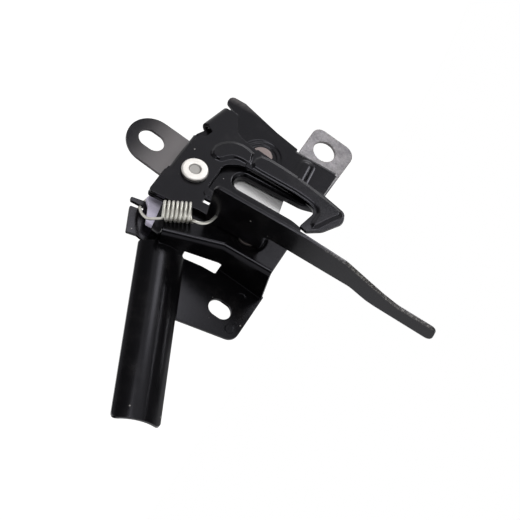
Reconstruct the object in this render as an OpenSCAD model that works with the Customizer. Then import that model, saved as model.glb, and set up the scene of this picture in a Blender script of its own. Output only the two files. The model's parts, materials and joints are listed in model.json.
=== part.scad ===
// Bonnet latch with safety catch, as fixed to a vehicle's front panel.
// Millimetres. Y = 0 is the front of the main plate, +Y runs to the rear towards the panel,
// +Z runs up the striker slot, +X is to the right seen from the front.
// The origin is the closed end of the striker slot.

/* [Shown node] */
// piece to build

/* [Sheet] */
// sheet thickness of the base
base_t = 1.8; // [1.5:0.1:1.8]
// sheet thickness of the safety hook
hook_t = 2; // [1.6:0.1:2.2]
// outside radius of the bends in the base
bend_r = 2.6; // [2.2:0.1:3.2]

/* [Fits] */
// radial clearance of a pin in its hole
pin_fit = 0.04; // [0.02:0.01:0.1]
// end play of a turning plate
play = 0.1; // [0.05:0.05:0.2]
// space between main plate and hook
hook_gap = 1.2; // [0.8:0.1:1.6]

/* [Striker slot] */
// half width of the slot
slot_r = 4.4; // [4:0.1:4.8]
// front radius of the drawn rim
slot_lip = 1.9; // [1.9:0.1:2.4]
// how far the rim reaches to the rear
slot_depth = 4.5; // [3.5:0.1:4.8]
// height where the rim starts to flare
mouth_z = 33; // [28:0.5:34]
// lean of the left rim, degrees
slot_lean = 2.6; // [0:0.2:4]
// flare of the left rim at the mouth, degrees
mouth_in = 19; // [10:1:24]
// flare of the right rim at the mouth, degrees
mouth_out = 12; // [6:1:16]

/* [Main plate] */
// upper edge
top_z = 39; // [38:0.5:40]
// outer face of the left wall
left_x = -33; // [-34:0.5:-32]
// outer face of the right wall
right_x = 37.2; // [36.5:0.1:38]
// outer face of the lower wall
low_z = -29; // [-29.5:0.1:-28.5]
// left end of the lower wall
low_wall_x = -10.8; // [-11.5:0.1:-9]
// right end of the lower wall
low_wall_to = 12.8; // [11.5:0.1:13.5]
// height where the right wall starts to lean
kink_z = 14.5; // [13.5:0.1:15.5]
// lower end of the leaning right wall, x and z
wall_end = [46.9, -12.5]; // [-60:0.1:60]
// depth of the pressed dish round a rivet head
dish_depth = 0.8; // [0.5:0.1:0.9]
// radius of the pressed dish round the claw rivet
claw_dish_r = 10; // [9.2:0.1:10.4]
// radius of the pressed dish round the pawl rivet
pawl_dish_r = 9.2; // [8.6:0.1:9.3]

/* [Mounting ears] */
// front of the ears behind the main face at the slot's closed end
mount_back = 15; // [14.5:0.1:16.5]
// backward lean of the mounting face, degrees
mount_tilt = 9.7; // [8:0.1:11]
// middle of the bottom ear
ear_a_x = -0.3; // [-1:0.1:0.5]
// radius of the bottom ear
ear_a_r = 12.75; // [12:0.05:13.5]
// height of the bottom ear's middle
ear_a_z = -45.2; // [-47:0.1:-44]
// width and length of the bottom slot
ear_a_slot = [9.6, 13.2]; // [8:0.1:15]
// left ear: left edge, lower edge and upper edge
ear_b = [-66.8, 14.3, 38.1]; // [-70:0.1:40]
// middle of the left ear's hole, x and z
ear_b_hole = [-55.8, 24.8]; // [-60:0.1:30]
// bore of the left ear's hole
ear_b_hole_d = 11.6; // [9:0.1:12.5]
// lower end of the left wall at the main plate
wall_low = 16.2; // [15.5:0.1:17]
// width and length of the right slot
ear_c_slot = [8.4, 11.2]; // [7:0.1:12]
// middle of the right slot, x and z
ear_c_hole = [54.3, 26.6]; // [24:0.1:57]

// round press marks on the right ear, x and z
press_marks = [[42.7, 31.7], [60, 35.2]]; // [30:0.1:64]
// radius of a press mark
press_mark_r = 2.1; // [1.5:0.1:2.5]
// depth of a press mark
press_mark_h = 0.2; // [0.1:0.05:0.4]

/* [Cable guard] */
// rise of the guard to the right, degrees
guard_angle = 24.3; // [23:0.1:25.5]
// left end of the guard along its length
guard_from = 36; // [35:0.5:37]
// right end of the guard along its length
guard_to = 124; // [110:0.5:128]
// lower edge across the guard
guard_low = -40; // [-41:0.1:-39]
// upper edge across the guard
guard_high = -17.9; // [-18.5:0.1:-17]
// height of the guard's arch
guard_rise = 4.6; // [3.8:0.1:5.2]

/* [Pivots] */
// hook pivot, x and z
hook_pin = [11, -16.6]; // [-18:0.1:12]
// claw pivot, x and z
claw_pin = [-18.5, 4]; // [-20:0.1:5]
// pawl pivot, x and z
pawl_pin = [25, 21]; // [20:0.1:26]
// radius of a riveted shank in the base
shank_r = 3.5; // [3:0.1:3.8]
// bearing radius of the hook rivet
hook_pin_r = 5; // [4.5:0.1:5.4]
// bearing radius of the claw rivet
claw_pin_r = 5; // [4.5:0.1:5.4]
// bearing radius of the pawl rivet
pawl_pin_r = 4.5; // [4.2:0.1:4.8]
// radius of the claw and pawl rivets' heads
head_r = 5.2; // [4.6:0.1:5.8]
// height of those heads
head_h = 1.55; // [1:0.05:1.7]
// radius of the hook rivet's head
hook_head_r = 6.4; // [6:0.1:7]
// height of the hook rivet's head
hook_head_h = 2.3; // [1.8:0.1:2.8]

/* [Claw and pawl] */
// front face of claw and pawl
lever_y = 5.5; // [5.2:0.1:5.8]
// thickness of the claw
claw_t = 4; // [3:0.1:4]
// thickness of the pawl
pawl_t = 3; // [2.5:0.1:3]
// swing of the claw from open to latched, degrees
claw_turn = 72; // [66:1:76]
// claw pivot to seated striker
striker_seat = 18.5; // [17.8:0.1:19]
// half width of the claw's mouth
mouth_r = 4.7; // [4.5:0.1:5]
// hole for the claw spring's end, x and z
claw_eye = [-6.7, 13.3]; // [-8:0.1:14]
// hole for the pawl spring's end, x and z
pawl_eye = [30.4, 6.4]; // [6:0.1:31]
// radius of those holes
eye_r = 1.1; // [1:0.05:1.2]

/* [Hook and lever] */
// outer face of the upright flange
flange_x = 29.6; // [29:0.1:29.8]
// front edge of the flange before the main face
flange_h = 26.6; // [25:0.1:28]
// upper edge of the flange, where it meets the lever
flange_top = 28.6; // [28:0.1:30]
// upper end of the release lever
lever_top = 115.3; // [105:0.1:125]
// width of the lever at its end
lever_w = 8.2; // [7:0.1:9]
// rear edge of the lever's end before the main face
lever_back = 5.7; // [5:0.1:7]
// height where the lever's front edge starts to crank back
crank_from = 67; // [64:0.5:70]
// height where the crank ends
crank_to = 87; // [84:0.5:90]
// hook spring's hole in the flange: height, and distance before the main face
spring_hole = [4.6, 6.6]; // [4:0.1:8]
// forward set of the hook arm
joggle = 0.8; // [0.5:0.1:1]
// height where the arm is set forward
joggle_z = 2.4; // [2:0.1:3]
// outer end of the guide lip's bend, x and z
lip_a = [-32, -21]; // [-33:0.1:-20]
// inner end of the guide lip's bend, x and z
lip_b = [-16.4, -24.7]; // [-26:0.1:-15]
// outside radius of the guide lip
lip_out = 3.75; // [3.5:0.05:4]

/* [Springs] */
// wire of the hook spring
hook_wire = 1.45; // [1.2:0.05:1.5]
// middle radius of the hook spring's coil
hook_coil_r = 4.35; // [4.2:0.05:4.5]
// turns of the hook spring
hook_coils = 7; // [5:1:8]
// lower end of the coil's axis
hook_coil_a = [40.2, -5.5, -16.7]; // [-20:0.1:42]
// upper end of the coil's axis
hook_coil_b = [33.6, -6.3, -5]; // [-8:0.1:35]
// wire of the claw and pawl springs
torsion_wire = 1.4; // [1.2:0.05:1.4]
// room for a torsion spring behind its lever
spring_room = 5.2; // [5:0.1:5.6]

/* [Hidden] */
round_fn = 64;
wall_y = mount_back + 8;
claw_rear = lever_y + claw_t + spring_room;
pawl_rear = lever_y + pawl_t + spring_room;
spacer_front = base_t + dish_depth + play / 2;
mouth_ray = [cos(claw_turn), sin(claw_turn)];
mouth_mid = claw_pin + striker_seat * mouth_ray;

// Outline helpers

function unit(v) = v / norm(v);
function corner(p0, p1, p2, r, n) =
    let (a = unit(p0 - p1), b = unit(p2 - p1), half = acos(a * b) / 2,
         c = p1 + unit(a + b) * r / sin(half), s = p1 + a * r / tan(half), e = p1 + b * r / tan(half),
         a0 = atan2(s[1] - c[1], s[0] - c[0]), a1 = atan2(e[1] - c[1], e[0] - c[0]),
         d = ((a1 - a0 + 540) % 360) - 180)
    [for (i = [0 : n]) c + r * [cos(a0 + d * i / n), sin(a0 + d * i / n)]];
function xy(p) = [p[0], p[1]];
function rounded(pts, n = 5) =
    [for (i = [0 : len(pts) - 1])
        let (k = len(pts), p = pts[i])
        each (len(p) > 2 && p[2] > 0 ? corner(xy(pts[(i + k - 1) % k]), xy(p), xy(pts[(i + 1) % k]), p[2], n) : [xy(p)])];
function arc(c, r, a0, a1, n = 8) = [for (i = [0 : n]) c + r * [cos(a0 + (a1 - a0) * i / n), sin(a0 + (a1 - a0) * i / n)]];

// Sheet in the X-Z plane between y = front and y = front + thick.
module sheet(front, thick) translate([0, front + thick, 0]) rotate([90, 0, 0]) linear_extrude(thick) children();

// Outline in Y-Z, extruded to the right from x = left.
module across(left, wide) translate([left, 0, 0]) rotate([90, 0, 90]) linear_extrude(wide) children();

// Turned body on an axis along Y.
module turned(c, front, long, r) translate([c[0], front, c[1]]) rotate([-90, 0, 0]) cylinder(h = long, r = r, $fn = round_fn);

module ring(c, front, long, r_in, r_out)
    translate([c[0], front, c[1]]) rotate([-90, 0, 0]) rotate_extrude($fn = round_fn)
        translate([r_in, 0]) square([r_out - r_in, long]);

module stadium(c, size) {
    translate([c[0], c[1] + (size[1] - size[0]) / 2]) circle(d = size[0], $fn = 48);
    translate([c[0], c[1] - (size[1] - size[0]) / 2]) circle(d = size[0], $fn = 48);
    translate([c[0] - size[0] / 2, c[1] - (size[1] - size[0]) / 2]) square([size[0], size[1] - size[0]]);
}

// Leaning mounting face: drawn flat, front of the ears at y = 0.
module mount_face() translate([0, mount_back, 0]) rotate([-mount_tilt, 0, 0]) children();

// Round wire along a path.
function tangents(p) = [for (i = [0 : len(p) - 1]) unit(p[min(i + 1, len(p) - 1)] - p[max(i - 1, 0)])];
function carried(t, seed) =
    [for (i = 0, v = unit(seed - (seed * t[0]) * t[0]); i < len(t);
          i = i + 1, v = let (w = t[min(i, len(t) - 1)]) unit(v - (v * w) * w)) v];
module wire(path, d, seed, m = 8) {
    t = tangents(path);
    n = carried(t, seed);
    points = [for (i = [0 : len(path) - 1]) let (b = cross(t[i], n[i]))
              for (k = [0 : m - 1]) path[i] + d / 2 * (cos(360 * k / m) * n[i] + sin(360 * k / m) * b)];
    last = len(path) - 1;
    sides = [for (i = [0 : last - 1]) for (k = [0 : m - 1])
             [i * m + k, (i + 1) * m + k, (i + 1) * m + (k + 1) % m, i * m + (k + 1) % m]];
    polyhedron(points, concat(sides, [[for (k = [0 : m - 1]) k], [for (k = [m - 1 : -1 : 0]) last * m + k]]));
}

// Base: one stamping with three ears, drawn slot rim and cable guard

module main_outline() {
    lean = unit(wall_end - [right_x, kink_z]);
    side = [-lean[1], lean[0]];
    inset = bend_r;
    polygon(rounded([
        [left_x + inset, top_z, 0], [left_x + inset, wall_low, 0], [left_x - 0.2, wall_low, 0.4], [-36, 3, 20], [-42.2, -17.6, 4],
        [-42.2, -25.7, 2.5], [-37.2, -25.7, 2.4], [-35, -21, 0.7], [-15.5, -25.7, 1], [low_wall_x, low_z + 1, 0.4],
        [low_wall_x, low_z + inset, 0], [low_wall_to, low_z + inset, 0], [low_wall_to, low_z, 0.4], [32, low_z - 0.2, 1.5],
        [31.3, -20.7, 0.8], [47.2, -17.5, 0.8], [48.2, -13, 0.5],
        xy(wall_end - inset * side), [right_x - inset, kink_z - 0.4, 0], [right_x - inset, top_z, 0]]));
}

// Line of the slot's inner face, from the left mouth round the closed end to the right mouth, up to z = end.
function slot_path(end) =
    let (c = [0, slot_r], low = c + slot_r * [-cos(slot_lean), -sin(slot_lean)],
         left = low + (mouth_z - low[1]) * [-tan(slot_lean), 1], right = [slot_r, mouth_z], h = end - mouth_z)
    concat([left + h * [-tan(mouth_in), 1]], corner(left + h * [-tan(mouth_in), 1], left, low, 12, 4), arc(c, slot_r, 180 + slot_lean, 360, 20),
           corner([slot_r, slot_r], right, right + h * [tan(mouth_out), 1], 12, 3), [right + h * [tan(mouth_out), 1]]);

// Sideways vectors of a path, mitred at its corners; the ends are cut along the vector given.
function left_of(v) = [v[1], -v[0]];
function mitre(p, i, cut) =
    let (k = len(p) - 1, a = left_of(unit(p[max(i, 1)] - p[max(i, 1) - 1])), b = left_of(unit(p[min(i, k - 1) + 1] - p[min(i, k - 1)])))
    (i == 0 || i == k) && norm(cut) > 0 ? cut / (a * cut) : (a + b) / (1 + a * b);
function mitres(p, cut) = [for (i = [0 : len(p) - 1]) mitre(p, i, cut)];

// Section of points [sideways, depth] carried along a path in the X-Z plane.
module swept(path, section, cut = [0, 0]) {
    d = mitres(path, cut);
    m = len(section);
    last = len(path) - 1;
    points = [for (i = [0 : last]) for (q = section) [path[i][0] + q[0] * d[i][0], q[1], path[i][1] + q[0] * d[i][1]]];
    sides = [for (i = [0 : last - 1]) for (k = [0 : m - 1])
             [i * m + k, (i + 1) * m + k, (i + 1) * m + (k + 1) % m, i * m + (k + 1) % m]];
    polyhedron(points, concat(sides, [[for (k = [0 : m - 1]) k], [for (k = [m - 1 : -1 : 0]) last * m + k]]));
}

module slot_cut() {
    p = slot_path(top_z + 2);
    d = mitres(p, [1, 0]);
    polygon([for (i = [0 : len(p) - 1]) p[i] + (slot_lip + 0.3) * d[i]]);
}

function rim_section() =
    concat([[slot_lip + 0.6, 0], [slot_lip + 0.6, base_t], [slot_lip, base_t], [base_t, slot_lip], [base_t, slot_depth], [0, slot_depth]],
           arc([slot_lip, slot_lip], slot_lip, 180, 270, 8));

module slot_rim() swept(slot_path(top_z + 1), rim_section(), [1, 0]);

module dish(c, r) translate([c[0], 0, c[1]]) rotate([-90, 0, 0]) rotate_extrude($fn = round_fn)
    polygon([[0, -0.1], [r + 0.1, -0.1], [r, 0], [r - 0.9, dish_depth / 2], [r - 2.1, dish_depth / 2], [r - 2.9, dish_depth], [0, dish_depth]]);

// Pressed field that stands h before a sheet's front. Its top outline runs anticlockwise, up one side and down the other, with as many
// points on each side; flank is the width of its slope.
module land(top, front, h, flank) {
    k = len(top);
    out = [for (i = [0 : k - 1]) let (a = left_of(unit(top[i] - top[(i + k - 1) % k])), b = left_of(unit(top[(i + 1) % k] - top[i])))
           (a + b) / (1 + a * b)];
    root = 0.15;
    wide = flank * (h + root) / h;
    points = concat([for (i = [0 : k - 1]) let (q = top[i] + wide * out[i]) [q[0], front + root, q[1]]],
                    [for (q = top) [q[0], front - h, q[1]]]);
    sides = [for (i = [0 : k - 1]) [i, k + i, k + (i + 1) % k, (i + 1) % k]];
    under = [for (i = [0 : k / 2 - 2]) [i, i + 1, k - 2 - i, k - 1 - i]];
    over = [for (f = under) [k + f[3], k + f[2], k + f[1], k + f[0]]];
    polyhedron(points, concat(sides, under, over));
}

module bend_section(a0) polygon(concat(arc([0, bend_r], bend_r, a0, a0 + 90), arc([0, bend_r], bend_r - base_t, a0 + 90, a0, 4)));

module corner_cut(way) scale([way, 1]) difference() {
    translate([-bend_r, -bend_r]) square(bend_r + 1);
    translate([-bend_r, -bend_r]) circle(r = bend_r, $fn = 40);
}

module right_wall(long) linear_extrude(long) {
    translate([-bend_r, 0]) bend_section(270);
    translate([-base_t, bend_r - 0.01]) square([base_t, wall_y]);
}

module walls() difference() {
    union() {
        // left wall to the upper ear
        translate([left_x + bend_r, 0, wall_low]) linear_extrude(ear_b[2] - wall_low) bend_section(180);
        across(left_x, base_t) polygon([[bend_r, wall_low], [wall_y, ear_b[1] + 0.6], [wall_y, ear_b[2] - 1.6], [bend_r, ear_b[2]]]);
        // right wall, upright part
        translate([right_x, 0, kink_z - 1]) right_wall(top_z - kink_z + 1);
        // right wall, leaning outwards to its foot
        lean = atan2(wall_end[0] - right_x, kink_z - wall_end[1]);
        long = norm(wall_end - [right_x, kink_z]);
        translate([right_x, 0, kink_z]) rotate([0, -lean, 0]) translate([0, 0, -long]) right_wall(long + 0.3);
        // lower wall to the bottom ear
        across(low_wall_x, low_wall_to - low_wall_x) translate([bend_r, low_z]) bend_section(180);
        across(low_wall_x, low_wall_to - low_wall_x) translate([bend_r, low_z]) square([wall_y, base_t]);
    }
    mount_face() translate([-120, base_t, -120]) cube([300, 60, 240]);
}

module ear_sheets() mount_face() sheet(0, base_t) {
    difference() {
        union() {
            translate([ear_a_x, ear_a_z]) circle(r = ear_a_r, $fn = 72);
            polygon([[ear_a_x - ear_a_r, ear_a_z], [ear_a_x + ear_a_r, ear_a_z], [low_wall_to, -27.6], [low_wall_x, -27.6], [ear_a_x - ear_a_r, -31]]);
        }
        stadium([ear_a_x - 0.3, ear_a_z - 0.5], ear_a_slot);
    }
    difference() {
        polygon(rounded([[left_x + base_t, ear_b[1] + 0.2, 0], [ear_b[0], ear_b[1] + 0.2, 4.8], [ear_b[0], ear_b[2] + 0.6, 6],
                         [left_x + base_t, ear_b[2] - 0.6, 0]]));
        translate(ear_b_hole) circle(d = ear_b_hole_d, $fn = 64);
    }
    difference() {
        polygon(rounded([[right_x - base_t, 40.1, 0], [63.9, 40, 5.4], [72.1, 12.2, 0.6], [45.2, 0.2, 0], [41.5, -4.5, 0], [right_x - base_t, 14, 0]]));
        stadium(ear_c_hole, ear_c_slot);
    }
    polygon(rounded([[38, 4, 0], [44.5, 1, 0], [48.2, -17, 0], [47.7, -23.8, 0.6], [49.5, -28.7, 0.8], [36.6, -34.7, 0.8],
                     [35.3, -30.6, 0.5], [35.2, -28.6, 0.8], [33, -28.6, 0.8], [34.2, -35.7, 0.6], [32.3, -37, 0.8],
                     [30, -30.3, 0.8], [31, -26.8, 1], [36.6, -18.7, 2], [39.5, -10, 2]]));
}

module guard() mount_face() rotate([0, -guard_angle, 0]) intersection() {
    span = guard_high - guard_low;
    r = (pow(span / 2, 2) + pow(guard_rise, 2)) / 2 / guard_rise;
    translate([guard_from - 5, r - guard_rise, (guard_high + guard_low) / 2]) rotate([0, 90, 0]) difference() {
        cylinder(h = guard_to - guard_from + 10, r = r, $fn = 96);
        translate([0, 0, -1]) cylinder(h = guard_to - guard_from + 12, r = r - base_t, $fn = 96);
    }
    sheet(-guard_rise - 1, guard_rise + 1 + base_t)
        polygon(rounded([[guard_from, guard_low, 0.5], [guard_to, guard_low, 3], [guard_to, guard_high, 2.6], [guard_from, guard_high, 0]]));
}

module base_plate() color([0.13, 0.13, 0.14]) difference() {
    union() {
        difference() {
            union() {
                sheet(0, base_t) difference() {
                    main_outline();
                    slot_cut();
                }
                turned(claw_pin, base_t - 0.2, dish_depth + 0.2, claw_dish_r - 1.4);
                turned(pawl_pin, base_t - 0.2, dish_depth + 0.2, pawl_dish_r - 1.4);
            }
            dish(claw_pin, claw_dish_r);
            dish(pawl_pin, pawl_dish_r);
        }
        // stiffening bead by the upper ear
        land(concat(arc([-14, 25.4], 1.8, -86, 86, 6), arc([-26.2, 24.2], 1.8, 86, 274, 10)), 0, 0.9, 2.2);
        slot_rim();
        walls();
        ear_sheets();
        guard();
    }
    // mouth of the slot trimmed level with the plate
    translate([-20, -5, top_z]) cube([40, 20, 5]);
    for (c = [hook_pin, claw_pin, pawl_pin]) turned(c, -1, 6, shank_r + pin_fit);
    // outside radius where the side walls turn into the ears
    mount_face() translate([left_x + base_t, base_t, -10]) linear_extrude(60) corner_cut(1);
    mount_face() translate([right_x - base_t, base_t, kink_z - 6]) linear_extrude(45) corner_cut(-1);
    for (m = press_marks) mount_face() turned(m, -1, 1 + press_mark_h, press_mark_r);
    // relief window at the foot of the right wall
    mount_face() sheet(-4, 8) polygon(rounded([[34, 15.5, 0.5], [40.2, 15.5, 0.8], [41, 8.7, 0], [43.4, -1, 0.6], [39.4, -3.6, 0.8], [37, 1.7, 0]]));
    // clearance opening behind the slit of the hook
    sheet(-1, 4) polygon(rounded([[18.3, -7.4, 1], [23.6, -7.4, 1], [23.6, -1.4, 1], [18.3, -1.4, 1]]));
}

// Safety hook: one stamping with hook arm, upright flange and lever

module hook_outline() difference() {
    polygon(rounded([
        [flange_x, flange_top, 0.6], [flange_x, 0.3, 0], [28.4, 0.3, 0.3], [28.4, -5, 0], [31.5, -19, 0], [32.2, -28.7, 1.5], [17.5, -28.7, 1.5],
        [14.5, -26, 1.5], [-7.5, -26, 1.2], [-9.6, -24.6, 0.6], [-10.2, -22.6, 0.6],
        [-14.8, -21.4, 0.6], [-16.4, -24.7, 0], [-32, -21, 0.4], [-31.4, -16.6, 1.2], [-27, -14.4, 3],
        [-20.5, -10.5, 6], [-18.2, 0, 6], [-13.7, 39.5, 10], [-10.6, 52.3, 3.4], [-5.3, 54.4, 4.4],
        [4.7, 48.5, 8], [9.6, 42.3, 1.2], [8.6, 38.1, 0.8], [-3, 40.6, 3.5], [-5.9, 33, 6],
        [-5.9, -1, 5], [-1, -7.4, 4], [14.6, -7.4, 2], [16.2, -2.4, 1.5], [20.2, -0.2, 1.5], [20.6, flange_top, 0.8]]));
    translate(hook_pin) circle(r = hook_pin_r + pin_fit, $fn = round_fn);
    polygon([[20.9, -5.2], [23.4, -5.2], [23.2, -1.9], [20.7, -1.9]]);
}

module hook_arm_part() polygon([[-40, joggle_z - 1.2], [12, joggle_z - 1.2], [12, 60], [-40, 60]]);

module lever_blade() across(flange_x - hook_t, hook_t) difference() {
    front = lever_back + lever_w;
    polygon(rounded([
        [-hook_gap, flange_top, 0.8], [-hook_gap, 0.3, 0], [-flange_h, 0.3, 3], [-flange_h, crank_from - 22, 30],
        [-front - 10.6, crank_from, 8], [-front - 3.3, crank_to, 12], [-front - 1.1, crank_to + 8, 20], [-front, lever_top, 3],
        [-lever_back, lever_top, 3], [-lever_back - 1.7, crank_to - 1, 12], [-lever_back - 2.3, crank_to - 5.5, 6],
        [-lever_back - 5.2, crank_from + 5.5, 10], [-lever_back - 6.3, flange_top + 3.4, 1.6], [-lever_back - 5.3, flange_top, 1]]));
    translate([-spring_hole[1], spring_hole[0]]) circle(r = 1.25, $fn = 24);
}

// guide lip rolled round the edge of the main plate
module guide_lip() {
    mid = -hook_gap - hook_t + lip_out - 0.02;
    long = norm(lip_b - lip_a);
    translate([lip_a[0], 0, lip_a[1]]) rotate([0, atan2(lip_a[1] - lip_b[1], lip_b[0] - lip_a[0]), 0]) across(0.7, long - 1.4)
        polygon(concat(arc([mid, 0], lip_out, 180, 360, 14), [[mid + lip_out, 2.6], [mid + lip_out - hook_t, 2.6]],
                       arc([mid, 0], lip_out - hook_t, 360, 180, 14), [[mid - lip_out + hook_t, 0.4], [mid - lip_out, 0.4]]));
}

module safety_hook() color([0.15, 0.15, 0.16]) {
    front = -hook_gap - hook_t;
    sheet(front, hook_t) difference() {
        hook_outline();
        translate([0, 2.4]) hook_arm_part();
    }
    sheet(front - joggle, hook_t) intersection() {
        hook_outline();
        hook_arm_part();
    }
    lever_blade();
    guide_lip();
    // pressed field of the pivot plate
    land([[-2.4, -12.4], [-2.6, -10.9], [-3.8, -9.6], [-5.8, -8.3], [-7.4, -6.6], [-8.4, -4.6], [-8.8, -2.4], [-8.8, 0.6], [-8.7, 2.2],
          [-14.2, 0.4], [-15.1, -3], [-15.3, -6], [-14.6, -8.9], [-12.9, -11.8], [-10.4, -14], [-7.6, -15.2], [-4.6, -15.1], [-3, -14.4]],
         front, 1.1, 1.2);
    // pressed field of the arm and its nose
    land([[-9.4, 4.2], [-8, 5.2], [-7.8, 9], [-7.9, 18.7], [-7.9, 27.7], [-7.2, 34.5], [-6.4, 38.4], [-5, 41.2], [-3, 42.6], [-0.4, 43],
          [2.4, 42.9], [4.2, 43.2], [4.9, 43.9], [4.2, 44.7], [-4.6, 48.9], [-6.2, 50], [-7.6, 50.9], [-8.9, 49.8], [-9.9, 46.6], [-11.2, 40.5],
          [-12.4, 34.5], [-14, 25], [-14.8, 16], [-15, 9], [-14.4, 5.4], [-12.2, 4.2]], front - joggle, 0.9, 1.2);
    turned([17.8, -5.4], front - 0.4, 0.6, 1.9);
}

// Rivets, washers and spacers

module hook_rivet() color([0.86, 0.86, 0.84]) {
    top = hook_gap + hook_t + play;
    difference() {
        translate([hook_pin[0], 0, hook_pin[1]]) rotate([90, 0, 0]) rotate_extrude($fn = 72)
            polygon(concat([[0, 0], [hook_pin_r, 0], [hook_pin_r, top], [hook_head_r, top]],
                           arc([hook_head_r - 0.9, top + hook_head_h - 0.9], 0.9, 0, 90, 5), [[0, top + hook_head_h]]));
        translate([hook_pin[0], -top - hook_head_h - 0.1, hook_pin[1]]) rotate([-90, 0, 0]) cylinder(h = 0.8, r1 = 3.1, r2 = 2.5, $fn = 48);
    }
    turned(hook_pin, -0.1, base_t + 0.2, shank_r);
    turned(hook_pin, base_t, 1.5, 5.4);
}

module hook_washer() color([0.8, 0.8, 0.78]) ring(hook_pin, -hook_gap + play / 2, hook_gap - play, hook_pin_r + pin_fit, 8);

module shoulder_rivet(c, r, rear) {
    turned(c, dish_depth - head_h, head_h, head_r);
    turned(c, dish_depth - 0.1, base_t + 0.2, shank_r);
    turned(c, base_t + dish_depth, rear - base_t - dish_depth + 0.1, r);
    turned(c, rear, 1.5, r + 2);
}

module claw_rivet() color([0.66, 0.65, 0.64]) shoulder_rivet(claw_pin, claw_pin_r, claw_rear);
module pawl_rivet() color([0.66, 0.65, 0.64]) shoulder_rivet(pawl_pin, pawl_pin_r, pawl_rear);

module claw_spacer() color([0.7, 0.7, 0.7]) ring(claw_pin, spacer_front, lever_y - play / 2 - spacer_front, claw_pin_r + pin_fit, 7.4);
module pawl_spacer() color([0.7, 0.7, 0.7]) ring(pawl_pin, spacer_front, lever_y - play / 2 - spacer_front, pawl_pin_r + pin_fit, 6.8);

// Claw in its open place: mouth towards the coming striker

module claw() color([0.8, 0.8, 0.82]) sheet(lever_y, claw_t) difference() {
    polygon(rounded([
        [10, 31, 0.8], [5, 26.5, 1.2], [-7.4, 23.8, 1.2], xy(mouth_mid), [-15.6, 29, 1], [-17.4, 33.4, 1.6], [-22.4, 33, 5],
        [-29.2, 22, 9], [-30, 6, 9], [-25, -6, 8], [-13, -6.8, 6], [-0.4, -3.4, 3], [9.4, 17, 12], [13, 24.4, 3]]));
    translate(mouth_mid) rotate(claw_turn) polygon(concat(arc([0, 0], mouth_r, 90, 270, 24), [[30, -mouth_r], [30, mouth_r]]));
    translate(claw_pin) circle(r = claw_pin_r + pin_fit, $fn = round_fn);
    translate(claw_eye) circle(r = eye_r, $fn = 24);
}

// Pawl with its release foot, held out of the claw's way
module pawl() color([0.73, 0.71, 0.78]) sheet(lever_y, pawl_t) difference() {
    union() {
        translate(pawl_pin) circle(r = 7.4, $fn = 64);
        polygon(rounded([
            [18.8, 18, 0], [22.4, 6, 8], [22.2, -4, 4], [17.4, -11.4, 0.7], [17.4, -13.3, 0.6], [22.6, -15.6, 1.5], [24.5, -22, 3],
            [26.6, -28.2, 1], [31.2, -29.3, 1], [33.6, -26.6, 1], [42.5, -22.6, 0.9], [42.4, -18.7, 0.9], [35, -19.6, 3],
            [32.6, -12, 6], [32.3, 20, 0]]));
    }
    translate(pawl_pin) circle(r = pawl_pin_r + pin_fit, $fn = round_fn);
    translate(pawl_eye) circle(r = eye_r, $fn = 24);
}

// Springs

function coil(a, b, r, n, from, way = 1, steps = 20) =
    let (w = unit(b - a), side = abs(w[0]) < 0.9 ? [1, 0, 0] : [0, 0, 1], u = unit(side - (side * w) * w), v = cross(w, u))
    [for (i = [0 : n * steps]) let (f = i / (n * steps), q = from + way * 360 * n * f) a + (b - a) * f + r * (cos(q) * u + sin(q) * v)];

module hook_spring() color([0.8, 0.8, 0.76])
    wire(concat([[24.6, 9.6, -27.8], [25.6, 10.4, -28.8], [27.2, 11.4, -29.9], [28.8, 12.2, -30.6], [30.4, 12.8, -30.9], [32, 13, -30.9],
                 [33.3, 12.9, -30.8], [34.1, 12.3, -30.6], [34.3, 11, -30.35], [34.4, 9.7, -30.1], [35.2, 8.6, -29.7], [36.6, 7.6, -29],
                 [38.6, 6.4, -27.6], [40.5, 5, -25.6], [41.8, 3.8, -23.4], [42.6, 2.4, -21.6], [43.3, 0.5, -20.3], [43.9, -1.7, -18.8],
                 [44.2, -3.8, -16.8]],
                coil(hook_coil_a, hook_coil_b, hook_coil_r, hook_coils, 0, -1),
                [[37.8, -7.3, -2], [37.8, -7.5, -0.6], [37, -7.2, 1.3], [35.4, -6.9, 2.9], [33.4, -6.7, 4], [31, -6.6, 4.5], [28.6, -6.6, 4.7], [26.8, -6.6, 4.2]]),
         hook_wire, [0, 1, 0.2]);

function torsion(c, front, rear, r, n, from) = coil([c[0], front, c[1]], [c[0], rear, c[1]], r, n, from);

module claw_spring() color([0.75, 0.75, 0.72]) {
    y0 = lever_y + claw_t + torsion_wire / 2 + 0.1;
    y1 = claw_rear - torsion_wire / 2 - 0.1;
    p = torsion(claw_pin, y0, y1, 6.4, 1.5, 0);
    h = claw_eye;
    wire(concat([[h[0], lever_y + 1, h[1]], [h[0], lever_y + claw_t - 0.6, h[1]], [h[0] - 0.3, y0 - 0.3, h[1] - 0.2], [h[0] - 1.2, y0, h[1] - 0.6],
                 [claw_pin[0] + 8.4, y0, claw_pin[1] + 7], [claw_pin[0] + 6.7, y0, claw_pin[1] + 3.6]], p,
                [[claw_pin[0] - 6.4, y1, claw_pin[1] + 5], [claw_pin[0] - 8.6, y1, claw_pin[1] + 12],
                 [left_x + base_t + torsion_wire / 2 + 0.1, y1, claw_pin[1] + 20]]), torsion_wire, [1, 0, 0]);
}

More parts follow.
